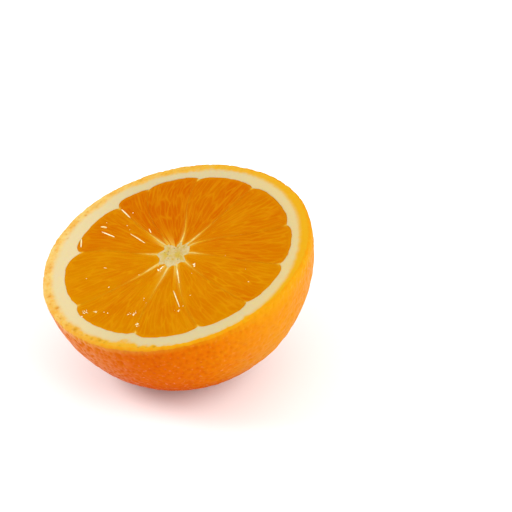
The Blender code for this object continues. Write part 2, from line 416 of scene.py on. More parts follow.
def placed(points, sizes):
    """Points of the fruit, leaned to the left and the front, lifted, and kept off the floor."""
    height = math.sqrt(sizes.fruit_radius ** 2 - sizes.flat_spot_radius ** 2)
    lean = Matrix.Rotation(sizes.lean_front, 3, "X") @ Matrix.Rotation(-sizes.lean_left, 3, "Y")
    moved = points @ np.array(lean).T
    moved[:, 2] = np.maximum(moved[:, 2] + height, 0.0)
    return moved


# Meshes

def grid_faces(rows, columns, start=0, closed=False):
    """Four-cornered faces of a grid of points stored row by row.

    A face's corners run along the row, then to the next row. A closed grid also joins its
    last column to its first.
    """
    row = np.arange(rows - 1)[:, None]
    column = np.arange(columns if closed else columns - 1)[None, :]
    right = (column + 1) % columns
    corners = (row * columns + column, row * columns + right,
               (row + 1) * columns + right, (row + 1) * columns + column)
    return np.stack([start + corner for corner in corners], axis=-1).reshape(-1, 4)


def fan_faces(loop, middle):
    """Three-cornered faces from each side of a loop of points to one middle point."""
    following = np.roll(loop, -1)
    return np.stack([loop, following, np.full(len(loop), middle)], axis=-1)


def border_loop(rows, columns):
    """Numbers of the border points of a grid, round from its first corner along its first row."""
    numbers = np.arange(rows * columns).reshape(rows, columns)
    return np.concatenate([numbers[0, :-1], numbers[:-1, -1], numbers[-1, :0:-1], numbers[:0:-1, 0]])


def polar(radius, angle, up):
    """Points at a distance from the axis, in a direction and at a height: r cos a, r sin a, up."""
    return np.stack(
        np.broadcast_arrays(radius * np.cos(angle), radius * np.sin(angle), up), axis=-1)


def closing(points, loop, floor, start=0, middle=None):
    """Straight sides from a loop of points down to a floor height, and a fan that fills it.

    Gives the loop's points at that height with one middle point, the sides' faces and the
    fan's faces, for points whose numbers begin at start.
    """
    under = points[loop].copy()
    under[:, 2] = floor
    middle = under.mean(axis=0) if middle is None else middle
    upper, lower = start + loop, start + len(points) + np.arange(len(loop))
    sides = np.stack([upper, np.roll(upper, -1), np.roll(lower, -1), lower], axis=-1)
    return np.concatenate([under, [middle]]), sides, fan_faces(lower, start + len(points) + len(loop))


def carried(values, loop):
    """A number field carried on to the points that closing adds."""
    return np.concatenate([values, values[loop], [0.0]])


def new_piece(name, points, quads, triangles, materials, sizes, fields=None, quad_slots=None):
    """Makes a smooth piece of faces over the solid, with its named number fields on its points."""
    mesh = bpy.data.meshes.new(name)
    points = placed(np.asarray(points, float), sizes)
    quads = np.asarray(quads, np.int64).reshape(-1, 4)
    triangles = np.asarray(triangles, np.int64).reshape(-1, 3)
    corners = np.concatenate([quads.ravel(), triangles.ravel()])
    counts = np.concatenate([np.full(len(quads), 4), np.full(len(triangles), 3)])
    starts = np.concatenate([[0], np.cumsum(counts)[:-1]])
    mesh.vertices.add(len(points))
    mesh.vertices.foreach_set("co", points.ravel())
    mesh.loops.add(len(corners))
    mesh.loops.foreach_set("vertex_index", corners)
    mesh.polygons.add(len(counts))
    mesh.polygons.foreach_set("loop_start", starts)
    for field, values in (fields or {}).items():
        attribute = mesh.attributes.new(field, "FLOAT", "POINT")
        attribute.data.foreach_set("value", np.asarray(values, float).ravel())
    for material in materials:
        mesh.materials.append(material)
    if quad_slots is not None:
        slots = np.zeros(len(counts), int)
        slots[:len(quad_slots)] = quad_slots
        mesh.polygons.foreach_set("material_index", slots)
    mesh.update(calc_edges=True)
    mesh.validate()
    mesh.shade_smooth()
    mesh.set_sharp_from_angle(angle=math.radians(60.0))
    piece = bpy.data.objects.new(name, mesh)
    bpy.context.scene.collection.objects.link(piece)
    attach(piece, "root")
    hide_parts(NODE)
    return piece


# Materials. Places across and up are in metres, and noise and spots are per metre.

class Value:
    """A number, colour, point or normal that a material's nodes work out.

    The signs + - * between two, or between one and a plain number, add a maths node.
    """

    def __init__(self, tree, socket):
        self.tree, self.socket = tree, socket

    def maths(self, operation, first, second):
        return added(self.tree, "Math", 0, {0: first, 1: second}, operation=operation)

    def __add__(self, other):
        return self.maths("ADD", self, other)

    def __sub__(self, other):
        return self.maths("SUBTRACT", self, other)

    def __rsub__(self, other):
        return self.maths("SUBTRACT", other, self)

    def __mul__(self, other):
        return self.maths("MULTIPLY", self, other)

    def larger(self, other):
        return self.maths("MAXIMUM", self, other)

    def held(self):
        """The same number, kept from 0 to 1 by its own maths node."""
        self.socket.node.use_clamp = True
        return self

    def ranged(self, low, high, new_low=0.0, new_high=1.0):
        """The number's place between low and high, moved smoothly to a new range."""
        places = {"Value": self, "From Min": low, "From Max": high, "To Min": new_low, "To Max": new_high}
        return added(self.tree, "MapRange", "Result", places, interpolation_type="SMOOTHSTEP")

    def mixed(self, first, second):
        """A colour mixed from two by this share."""
        return added(self.tree, "Mix", 2, {0: self, 6: first, 7: second}, data_type="RGBA")

    def part(self, axis):
        """One measure of a point: 0 across, 1 back, 2 up."""
        return added(self.tree, "SeparateXYZ", axis, {0: self})

    def noise(self, per_metre, detail=2.0, roughness=0.5):
        """Cloudy noise read at a point."""
        settings = {"Vector": self, "Scale": per_metre, "Detail": detail, "Roughness": roughness}
        return added(self.tree, "TexNoise", "Fac", settings)

    def spots(self, per_metre):
        """Distance from a point to the nearest of scattered spots."""
        return added(self.tree, "TexVoronoi", "Distance", {"Vector": self, "Scale": per_metre})

    def bumped(self, depth, strength=1.0, normal=None):
        """A normal tilted by this height, on top of another normal if one is given."""
        settings = {"Height": self, "Distance": depth, "Strength": strength}
        if normal is not None:
            settings["Normal"] = normal
        return added(self.tree, "Bump", "Normal", settings)


def fill(tree, socket, value):
    """Puts a number, a colour or a worked out value into a socket."""
    if isinstance(value, Value):
        tree.links.new(value.socket, socket)
    else:
        socket.default_value = value if np.isscalar(value) else tuple(value)


def added(tree, kind, output, inputs, **settings):
    """A new node with its settings and its inputs filled, as the value of one of its outputs."""
    node = tree.nodes.new("ShaderNode" + kind)
    for name, value in settings.items():
        setattr(node, name, value)
    for socket, value in inputs.items():
        fill(tree, node.inputs[socket], value)
    return Value(tree, node.outputs[output])


def mottle_group():
    """Cloudy colour change: broad and fine noise, 65 to 35, choose between two colours."""
    name = "mottle"
    if name in bpy.data.node_groups:
        return bpy.data.node_groups[name]
    colour, number, vector = "NodeSocketColor", "NodeSocketFloat", "NodeSocketVector"
    group = bpy.data.node_groups.new(name, "ShaderNodeTree")
    for socket, way, kind in (
            ("Point", "INPUT", vector), ("Broad", "INPUT", number), ("Fine", "INPUT", number),
            ("First", "INPUT", colour), ("Second", "INPUT", colour),
            ("Color", "OUTPUT", colour), ("Value", "OUTPUT", number)):
        group.interface.new_socket(name=socket, in_out=way, socket_type=kind)
    given, made = group.nodes.new("NodeGroupInput"), group.nodes.new("NodeGroupOutput")
    point, broad, fine, first, second = (Value(group, socket) for socket in given.outputs[:5])
    both = point.noise(broad, 3.0, 0.6) * 0.65 + point.noise(fine, 2.0, 0.6) * 0.35
    value = both.ranged(0.36, 0.64)
    fill(group, made.inputs["Value"], value)
    fill(group, made.inputs["Color"], value.mixed(first, second))
    return group


class Surface:
    """A Principled material while it is being made, its even values on its own sockets.

    Glow is light that spreads below the surface. The sheen tints what is mirrored straight
    on and leaves it white at a flat angle.
    """

    def __init__(self, name, roughness, glow_depth, glow_weight, gloss, sheen):
        self.material = bpy.data.materials.new(name)
        self.material.use_nodes = True
        self.tree = self.material.node_tree
        self.shader = self.tree.nodes["Principled BSDF"]
        self.point = added(self.tree, "TexCoord", "Object", {})
        self.set_even({
            "Roughness": roughness, "Subsurface Weight": glow_weight,
            "Subsurface Radius": (1.0, 0.35, 0.06), "Subsurface Scale": glow_depth,
            "Specular IOR Level": gloss, "Specular Tint": (*sheen, 1.0), "IOR": 1.38})

    def set_even(self, values):
        for socket, value in values.items():
            self.shader.inputs[socket].default_value = value

    def field(self, name):
        """One of the number fields on the piece's points."""
        return added(self.tree, "Attribute", "Fac", {}, attribute_name=name)

    def mottled(self, broad, fine, first, second):
        """The mottle group placed in the material: its colour and its value."""
        group = self.tree.nodes.new("ShaderNodeGroup")
        group.node_tree = mottle_group()
        for socket, value in zip(group.inputs, (self.point, broad, fine, first, second)):
            fill(self.tree, socket, value)
        return Value(self.tree, group.outputs["Color"]), Value(self.tree, group.outputs["Value"])

    def dressed(self, looks):
        """The material, with its changing looks linked to the shader."""
        for socket, value in looks.items():
            fill(self.tree, self.shader.inputs[socket], value)
        return self.material


def skin_material(colours):
    """Waxy skin: orange and deeper in the pores, yellower at both sides as painted light, and deeper low down
    as painted shade.

    It is waxier on the left, where the tops between the pores shine, has an even gloss on
    the right, away from the rim, and glints in small spots.
    """
    skin = Surface("orange_skin", 0.50, 0.0012, 0.12, 0.04, (1.0, 0.50, 0.06))
    across, up = skin.point.part(0), skin.point.part(2)
    pore, rim = skin.field("pore"), skin.field("rim")
    value = skin.mottled(60.0, 380.0, colours.skin, colours.skin_pale_and_lit)[1]
    # Painted light: towards the right, where light falls, the skin is mixed to its pale colour, and a little
    # towards the left as a painted sheen; a little mottle is added.
    lit_sides_and_mottle = across.ranged(-0.004, 0.034) + across.ranged(-0.008, -0.036, 0.0, 0.34)
    lit_sides_and_mottle = (lit_sides_and_mottle + (value - 0.5) * 0.16).held()
    colour = lit_sides_and_mottle.mixed(colours.skin, colours.skin_pale_and_lit)
    # Painted shade: low down, near the floor, the skin is mixed towards its pore colour.
    colour = (up.ranged(0.018, 0.006) * 0.65).mixed(colour, colours.skin_pore_and_low_shade)
    seen = across.ranged(0.006, 0.024, 0.54, 0.24)
    colour = (pore * seen).held().mixed(colour, colours.skin_pore_and_low_shade)
    specks = skin.point.spots(620.0).ranged(0.30, 0.10)
    colour = (specks * 0.20).mixed(colour, colours.zest)
    edge = blend(np.array(colours.zest), np.array(colours.skin_pale_and_lit), 0.35)
    # Towards the left the rim colour turns to the paler zest, partly a painted sheen and partly the peel's
    # own colour.
    edge = across.ranged(0.005, -0.015).mixed(edge, colours.zest_light)
    rough = value * 0.14 + across.ranged(-0.025, 0.0, 0.30, 0.42) + pore * 0.15
    wax = across.ranged(-0.006, -0.028) * pore.ranged(0.45, 0.05) * 0.27
    side = across.ranged(0.010, 0.030, 0.0, 0.12) * (1.0 - rim).held()
    glints = skin.point.noise(850.0, 1.0).ranged(0.64, 0.74) * 0.45
    fine = skin.point.spots(1400.0).ranged(0.0, 0.7).bumped(0.00002)
    return skin.dressed({
        "Base Color": rim.mixed(colour, edge), "Roughness": rough,
        "Specular IOR Level": wax.larger(side).larger(glints) + 0.006,
        "Normal": skin.point.noise(520.0).bumped(0.00040, 0.8, fine)})


def cut_peel_material(colours):
    """Cut peel: cream pith that turns pale and then yellow-orange outwards, with oil glands.

    The pith is lighter on the left as painted light. The outer peel is pale on the left,
    partly painted light and partly its own colour, and deepens towards the right and the
    front. Its border with the pith is crisp in front and soft at both sides.
    """
    peel = Surface("cut_peel", 0.48, 0.0012, 0.20, 0.05, (1.0, 0.80, 0.45))
    across = peel.point.part(0)
    right, warm = across.ranged(0.010, 0.030), peel.field("warm")
    pith, value = peel.mottled(160.0, 900.0, colours.pith, colours.pith_grey)
    # Painted light: on the left, where light falls, the pith is mixed towards its paler colour.
    pith = across.ranged(-0.008, -0.030).mixed(pith, colours.pith_pale_lit)
    pith = (right * 0.30).mixed(pith, colours.zest_pale)
    pale, _ = peel.mottled(280.0, 1000.0, colours.zest_pale, colours.zest_light)
    zest = warm.mixed(pale, colours.zest)
    outward = peel.field("outward")
    ragged = outward + (peel.point.noise(560.0) - 0.5) * 0.36
    crisp = (warm - right * 0.85).held()
    share = ragged.ranged(0.50, 0.72) * crisp + outward.ranged(0.42, 0.72) * (1.0 - crisp)
    rind = (warm * 0.75).mixed(zest, colours.skin_pale_and_lit)
    colour = ragged.ranged(0.84, 1.10).mixed(share.mixed(pith, zest), rind)
    gland = warm.mixed(colours.gland, colours.gland_deep)
    return peel.dressed({
        "Base Color": (peel.field("gland") * 0.90).held().mixed(colour, gland),
        "Roughness": value * 0.15 + 0.40,
        "Normal": peel.point.noise(900.0, 3.0, 0.6).bumped(0.00010, 0.7)})


def flesh_material(colours):
    """Wet juice sacs: amber to deep orange from segment to segment, the deep orange partly painted shade,
    with soft walls and streaks.

    They are golden along the pith and round the core, and paler where a membrane shines through.
    """
    flesh = Surface("juicy_flesh", 0.24, 0.0020, 0.15, 0.002, (1.0, 0.50, 0.03))
    places = {0: flesh.field("lay_across"), 1: flesh.field("lay_along")}
    streaks = added(flesh.tree, "CombineXYZ", 0, places).noise(0.8)
    # The segment's depth deepens the colour, partly as painted shade at the top right.
    tone = flesh.field("tone") * 0.16 + flesh.field("depth") + (flesh.point.noise(110.0) - 0.5)
    tone = (tone + (streaks - 0.5) * 0.8).held()
    colour = tone.mixed(colours.flesh, colours.flesh_deep_and_shade)
    walls = (flesh.field("wall") * 0.38).larger(streaks.ranged(0.48, 0.70) * 0.36)
    colour = walls.larger(flesh.field("golden")).mixed(colour, colours.sac_wall)
    return flesh.dressed({
        "Base Color": flesh.field("pale").mixed(colour, colours.membrane),
        "Roughness": streaks * 0.16 + 0.14, "Normal": streaks.bumped(0.00006, 0.8)})


def membrane_material(colours):
    """Thin moist skins: cream where they are clear, then yellow, then like the flesh as they fade."""
    skins = Surface("membrane", 0.28, 0.0015, 0.15, 0.15, (1.0, 0.70, 0.25))
    clear = skins.field("clear")
    cream, value = skins.mottled(400.0, 1400.0, colours.membrane, colours.zest_pale)
    faded = clear.ranged(0.05, 0.40).mixed(colours.flesh, colours.sac_wall)
    return skins.dressed({
        "Base Color": clear.ranged(0.35, 0.95).mixed(faded, cream),
        "Roughness": value * 0.15 + 0.20, "Normal": skins.point.noise(1500.0).bumped(0.00006)})


def core_material(colours):
    """Spongy core: cream with soft yellow patches, hollows and a few small brown vessel ends."""
    core = Surface("spongy_core", 0.42, 0.0015, 0.15, 0.20, (1.0, 0.80, 0.40))
    colour, value = core.mottled(420.0, 1100.0, colours.core, colours.pith)
    patches = core.point.noise(320.0, 1.0).ranged(0.44, 0.58)
    for share, other in (
            (patches * 0.80, colours.core_yellow), (core.field("outer"), colours.pith),
            (core.field("hollow"), colours.sac_wall), (core.field("vessel") * 0.8, colours.vessel)):
        colour = share.mixed(colour, other)
    return core.dressed({
        "Base Color": colour, "Roughness": value * 0.2 + 0.3,
        "Normal": core.point.noise(1800.0, 3.0).bumped(0.00010)})


def juice_glint_material(colours):
    """Wet beads of juice and torn sac skin under a clear gloss, pale amber to cream as a painted highlight.
    """
    juice = Surface("wet_juice_painted_glint", 0.10, 0.0010, 0.05, 0.50, (1.0, 1.0, 1.0))
    juice.set_even({"Coat Weight": 1.0, "Coat Roughness": 0.03})
    colour, _ = juice.mottled(300.0, 1500.0, colours.juice, colours.juice_glint_light)
    return juice.dressed({"Base Color": colour})


# Peel

def bowl_directions(side, lowest):
    """Points spread evenly over the bowl of the skin, as directions from the fruit's middle.

    A square grid is bent to a disc ring by ring, each square ring becoming a circle. The
    disc's radius p then gives the angle from the bottom, 2 asin(p sin(lowest / 2)), which
    keeps all the grid's squares equal in area.
    """
    line = np.linspace(-1.0, 1.0, side)
    a, b = np.meshgrid(line, line, indexing="xy")
    wide = np.abs(a) > np.abs(b)
    safe_a = np.where(a == 0.0, 1.0, a)
    safe_b = np.where(b == 0.0, 1.0, b)
    reach = np.where(wide, a, b)
    turn = np.where(wide, math.pi / 4.0 * b / safe_a, math.pi / 2.0 - math.pi / 4.0 * a / safe_b)
    x, y = reach * np.cos(turn), reach * np.sin(turn)
    disc = np.hypot(x, y)
    angle = 2.0 * np.arcsin(np.clip(disc, 0.0, 1.0) * math.sin(lowest / 2.0))
    return polar(np.sin(angle), np.arctan2(y, x), -np.cos(angle)).reshape(-1, 3)


def pores(directions, sizes):
    """Oil gland pores of the skin: how deep the skin dips, and how much of a pore it is.

    Pores lie in rows below the cut edge, one pore spacing apart, each moved at random by up
    to a third of the spacing. A pore has a random width and depth, and the skin dips by
    its depth times e^-(d/width)^2, where d is the distance to its middle. The nine pores
    near a point are added, and the strongest gives the shade.
    """
    radius, spacing = sizes.fruit_radius, sizes.pore_spacing
    below = np.arcsin(np.clip(-directions[:, 2], -1.0, 1.0)) * radius
    around = np.mod(np.arctan2(directions[:, 1], directions[:, 0]), 2.0 * math.pi)
    dip = np.zeros(len(directions))
    shade = np.zeros(len(directions))
    for row_step in (-1, 0, 1):
        row = np.floor(below / spacing) + row_step
        middle = np.clip((row + 0.5) * spacing / radius, 0.0, math.pi / 2.0)
        count = np.maximum(np.round(2.0 * math.pi * radius * np.cos(middle) / spacing), 1.0)
        for column_step in (-1, 0, 1):
            column = np.mod(np.floor(around / (2.0 * math.pi) * count) + column_step, count)
            lower = (row + 0.5 + PORE_STRAY * (hashed(row, column, 11) - 0.5)) * spacing / radius
            turn = (column + 0.5 + PORE_STRAY * (hashed(row, column, 12) - 0.5)) / count * 2.0 * math.pi
            pore = polar(np.cos(lower), turn, -np.sin(lower))
            distance = np.linalg.norm(directions - pore, axis=1) * radius
            width = blend(PORE_NARROW, PORE_WIDE, hashed(row, column, 13))
            there = (hashed(row, column, 14) > PORE_GAPS) & (row >= 0)
            strength = there * blend(PORE_FAINT, 1.0, hashed(row, column, 15)) * bump(distance, width)
            dip += strength * sizes.pore_depth
            shade = np.maximum(shade, strength)
    return dip, shade


def lumps(points):
    """The solid's slow lumps: a sum of sine waves of random direction, length and phase."""
    draw = np.random.RandomState(LUMP_SEED)
    directions = draw.normal(size=(LUMP_WAVES, 3))
    directions /= np.linalg.norm(directions, axis=1)[:, None]
    lengths = LUMP_SPACING * draw.uniform(0.7, 2.4, LUMP_WAVES)
    phases = draw.uniform(0.0, 2.0 * math.pi, LUMP_WAVES)
    waves = np.sin(points @ (directions * (2.0 * math.pi / lengths)[:, None]).T + phases)
    return LUMP_HEIGHT * waves.sum(axis=1) / math.sqrt(LUMP_WAVES / 2.0)


def skin_height(directions, sizes):
    """How far the skin lies from the true sphere, and its pore shade.

    The solid's lumps and finer pebbly ones are added, and the pores and a thin layer that
    keeps it all inside the solid's size are taken away.
    """
    points = directions * sizes.fruit_radius
    pebble = space_noise(points, PEBBLE_SIZE, 31)
    dip, shade = pores(directions, sizes)
    return lumps(points) + PEBBLE_HEIGHT * (pebble - 1.0) - dip, shade


def between_measures(angle, measures):
    """Measures spread evenly round the ring, read at any angle: straight from one to the next."""
    places = 360.0 / len(measures) * np.arange(len(measures))
    return np.interp(np.degrees(angle), places, measures, period=360.0)


def turn_between(start, end):
    """How far round from one direction to another, from minus to plus half a turn."""
    return np.mod(end - start + math.pi, 2.0 * math.pi) - math.pi


def outer_pith(angle):
    """How far out the white pith reaches: its measures less the peel's lobes, wavering a little.

    A lobe takes its depth times e^-(turn / half width)^2 away.
    """
    reach = between_measures(angle, PITH_REACH) + 0.12 * noise(angle * 40.0, 0.0, 43)
    for direction, half_width, depth in PEEL_LOBES:
        turn = turn_between(math.radians(direction), angle)
        reach = reach - depth * bump(turn, math.radians(half_width))
    return MM * reach


def rightward(angle):
    """How far a direction turns to the right side, from 0 to 1: a smooth step of its cosine."""
    return smooth_step((np.cos(angle - 0.1) + 0.05) / 0.95)


def ring_glands(angle, out, pith, radius):
    """How much of an oil gland the cut ring is, from 0 to 1. The strongest gland counts.

    A gland that stands out is a soft spot, its strength times e^-(d/half width)^2. Small
    ones lie scattered over the outer peel, fewer on the right: each is the middle of a
    cell of the cell pattern, as strong as its tone, and cells of a low tone have none.
    """
    direction, reach, half_width, strength = np.array(RING_GLANDS).T[:, :, None]
    turn = turn_between(np.radians(direction), angle[None])
    distance = np.hypot(turn * reach * MM, out[None] - reach * MM)
    standing_out = (strength * bump(distance, half_width * MM)).max(axis=0)
    near, _, tone = cells(angle * radius / (1.7 * MM), (radius - out) / MM / 1.3, 51)
    zest = smooth_step((out - pith + 0.1 * MM) / (0.6 * MM))
    small = (1.0 - smooth_step((near - 0.10) / 0.20)) * zest * (tone > 0.60) * 0.55 * tone
    return np.maximum(small * (1.0 - 0.85 * rightward(angle)), standing_out)


def rim_tint(angle, below):
    """How much of the cut edge's colour the skin has this far below it.

    It fades as e^-(d/reach)^2. On the right it is strong and reaches far, and on the left
    and in front it is about half as strong.
    """
    right, left = rightward(angle), smooth_step((-np.cos(angle) - 0.1) / 0.8)
    strength = np.maximum(np.maximum(0.90 * right, 0.55 * left), 0.40)
    return strength * bump(below, (1.0 + 2.2 * right + 0.6 * left) * MM)


def build_peel(sizes, colours):
    """Skin, cut edge and cut ring of the peel in one closed surface.

    The skin is a bowl of evenly spread points. Its border goes on round the cut edge as a
    quarter circle, inwards over the cut ring to the segments' backs, down the pith's inner
    wall, and over a hidden floor to the middle.
    """
    radius, rounding = sizes.fruit_radius, sizes.edge_rounding
    directions = bowl_directions(SKIN_SIDE, math.pi / 2.0 - math.asin(rounding / radius))
    height, shade = skin_height(directions, sizes)
    skin = directions * (radius + height)[:, None]
    around = np.arctan2(directions[:, 1], directions[:, 0])
    loop = border_loop(SKIN_SIDE, SKIN_SIDE)
    angle = around[loop]
    segment, across = segment_at(angle, np.full(len(loop), PLAIN_FLESH))
    inner = flesh_edge(segment, across)
    low, high = membrane_angle(segment, inner), membrane_angle(segment + 1, inner)
    aside = turn_between(angle, blend(low, high, across))
    inner = inner + 0.10 * MM * noise(angle * 26.0, 0.0, 41)
    outer = radius + height[loop] - rounding
    pith, warm = outer_pith(angle), between_measures(around, PEEL_WARMTH)
    rows = []

    def add_row(out, up, outward=0.0, moved=1.0, gland=0.0):
        turned = angle + moved * aside
        rows.append(np.stack(np.broadcast_arrays(
            out * np.cos(turned), out * np.sin(turned), up, outward, gland, warm[loop]), axis=-1))

    for turn in np.linspace(0.0, math.pi / 2.0, EDGE_ROWS + 1)[1:]:
        add_row(outer + rounding * math.cos(turn), -rounding * (1.0 - math.sin(turn)), 1.0, 0.0)
    for share in np.linspace(0.0, 1.0, RING_ROWS + 1)[1:]:
        out = blend(outer, inner, share)
        gland = ring_glands(angle, out, pith, radius)
        outward = np.where(
            out > pith, 0.6 + 0.4 * (out - pith) / (radius - pith), 0.6 * (out - inner) / (pith - inner))
        up = 4.0 * RING_SWELL * share * (1.0 - share) - GLAND_DIP * gland
        up = up + 0.00003 * noise(out * np.cos(angle) / MM, out * np.sin(angle) / MM, 61)
        add_row(out, up - (INNER_DROP if share == 1.0 else 0.0), outward, share ** 2, gland)
    for inwards, up in ((0.06, -0.22), (0.09, -0.60), (0.10, -PIECE_DEPTH / MM)):
        add_row(inner - inwards * MM, up * MM)
    for share in (0.72, 0.30):
        add_row(inner * share, -PIECE_DEPTH)
    ring = np.concatenate(rows)
    points = np.concatenate([skin, ring[:, :3], [[0.0, 0.0, -PIECE_DEPTH]]])
    numbers = np.concatenate([loop, len(skin) + np.arange(len(ring))])
    skin_faces = grid_faces(SKIN_SIDE, SKIN_SIDE)[:, ::-1]
    ring_faces = numbers[grid_faces(len(rows) + 1, len(loop), 0, True)]
    plain = np.zeros(len(skin))
    rim = rim_tint(around, -directions[:, 2] * radius - rounding)
    fields = {
        name: np.concatenate([on_skin, on_ring, [0.0]]) for name, on_skin, on_ring in (
            ("outward", plain + 1.0, ring[:, 3]), ("gland", plain, ring[:, 4]), ("warm", warm, ring[:, 5]),
            ("pore", shade, 0.0 * ring[:, 0]), ("rim", rim, 0.0 * ring[:, 0]))}
    return new_piece(
        "orange_peel", points, np.concatenate([skin_faces, ring_faces]),
        fan_faces(numbers[-len(loop):], len(points) - 1),
        (skin_material(colours), cut_peel_material(colours)), sizes, fields,
        np.repeat([0, 1], [len(skin_faces), len(ring_faces)]))


# Segments

def sac_pattern(segment, across, radius, width, sizes):
    """Juice sacs of a segment: their walls, their domes and a random tone for each.

    The cell pattern is read with one sac across per sac width at the pith, and one along
    per sac length, after a slow and a fine sideways drift that make the sacs waver.
    """
    wide = max(round(width / sizes.sac_width), 3)
    drift = 0.55 * noise(across * 3.0 + 7.0 * segment, radius / (7.0 * MM), 71)
    fine = 0.18 * noise(across * wide * 0.8 + 3.0 * segment, radius / (2.2 * MM), 72)
    u = across * wide + drift + fine + 100.0 * segment
    v = radius / sizes.sac_length + 0.35 * noise(across * wide * 0.5, 5.0 * segment, 73)
    near, gap, tone = cells(u, v, 80 + segment)
    return 1.0 - smooth_step(gap / 0.30), 1.0 - np.clip(near, 0.0, 1.0) ** 2, tone


def golden_and_pale(segment, across, radius, to_low, to_high, to_pith, to_core):
    """How golden and how pale the flesh is, from 0 to 1.

    It is both beside a clear membrane and in rays that noise draws out from the core, and
    golden along the pith and the core too. Each fades by e^-(d/reach)^2.
    """
    beside = np.maximum(
        membrane_clear(segment, radius) * bump(to_low, 0.70 * MM),
        membrane_clear(segment + 1, radius) * bump(to_high, 0.70 * MM))
    ray = noise(across * 5.0 + 13.0 * segment, 0.4 * radius / (10.0 * MM) + segment, 97)
    rays = smooth_step((ray - 0.25) / 0.35) * bump(to_core, 9.0 * MM)
    golden = np.maximum(0.6 * rays, 0.30 * bump(to_pith, 1.1 * MM)) + 0.55 * beside
    golden = np.clip(golden + 0.35 * bump(to_core, 1.2 * MM), 0.0, 1.0)
    return golden, 0.25 * beside ** 2 + 0.30 * rays * bump(to_core, 3.0 * MM)


def build_segments(sizes, colours):
    """Eleven closed wedges of flesh.

    Each wedge's top is a grid that runs from the core to the pith and from membrane to
    membrane. It swells in the middle, stands higher at its borders, and carries the sacs'
    domes and raised walls. Straight sides and a fan below close it.
    """
    points, quads, triangles, fields = [], [], [], {}
    start = 0
    for segment in range(len(SEGMENTS)):
        first, last = membrane_angle(segment, PLAIN_FLESH), membrane_angle(segment + 1, PLAIN_FLESH)
        width = float(last - first) * PLAIN_FLESH
        columns = round(width / FLESH_STEP)
        out, across = np.meshgrid(
            np.linspace(0.0, 1.0, FLESH_ROWS), np.linspace(0.0, 1.0, columns), indexing="ij")
        tip, back = core_edge(segment, across), flesh_edge(segment, across)
        radius = blend(tip - OVERLAP, back + OVERLAP, out)
        low, high = membrane_angle(segment, radius), membrane_angle(segment + 1, radius)
        inset = 0.08 * sizes.membrane_width / np.maximum(radius, 3.0 * MM)
        angle = blend(low + inset, high - inset, across)
        here = (high - low) * radius
        wall, dome, tone = sac_pattern(segment, across, radius, width, sizes)
        to_low, to_high, to_pith, to_core = across * here, (1.0 - across) * here, back - radius, radius - tip
        side = np.minimum(to_low, to_high)
        x, y = radius * np.cos(angle), radius * np.sin(angle)
        border = np.maximum(bump(side, 0.8 * MM), bump(to_pith, 1.0 * MM))
        border = np.maximum(border, bump(to_core, 0.8 * MM))
        swell = sizes.flesh_swell * 16.0 * across * (1.0 - across) * out * (1.0 - out)
        relief = 0.03 * noise(x / (1.7 * MM), y / (1.7 * MM), 91)
        relief = relief + 0.025 * dome + 0.02 * wall + 0.03 * (tone - 0.5)
        for distance, reach in ((here, 5.0), (side, 0.5), (to_pith, 0.6), (to_core, 0.5)):
            relief = relief * smooth_step(distance / (reach * MM))
        up = swell - sizes.flesh_drop + knife_wave(x, y) + BORDER_RISE * border + relief * MM
        top = np.stack([x, y, up], axis=-1).reshape(-1, 3)
        loop = border_loop(FLESH_ROWS, columns)
        under, sides, fan = closing(top, loop, 0.2 * MM - PIECE_DEPTH, start)
        points += [top, under]
        quads += [grid_faces(FLESH_ROWS, columns, start)[:, ::-1], sides]
        triangles.append(fan)
        start += len(top) + len(under)
        golden, pale = golden_and_pale(segment, across, radius, to_low, to_high, to_pith, to_core)
        # The depth field carries each segment's colour depth, partly painted shade at the top right.
        for name, values in (
                ("wall", wall * blend(0.4, 1.0, hashed(np.floor(across * 9.0), segment, 95))),
                ("tone", tone), ("depth", np.full_like(radius, SEGMENTS[segment, 2])),
                ("golden", golden), ("pale", pale),
                ("lay_across", across * width / MM + 40.0 * segment), ("lay_along", radius / (10.0 * MM))):
            fields.setdefault(name, []).append(carried(values.ravel(), loop))
    return new_piece(
        "orange_segments", np.concatenate(points), np.concatenate(quads), np.concatenate(triangles),
        (flesh_material(colours),), sizes, {name: np.concatenate(values) for name, values in fields.items()})


# Membranes and core

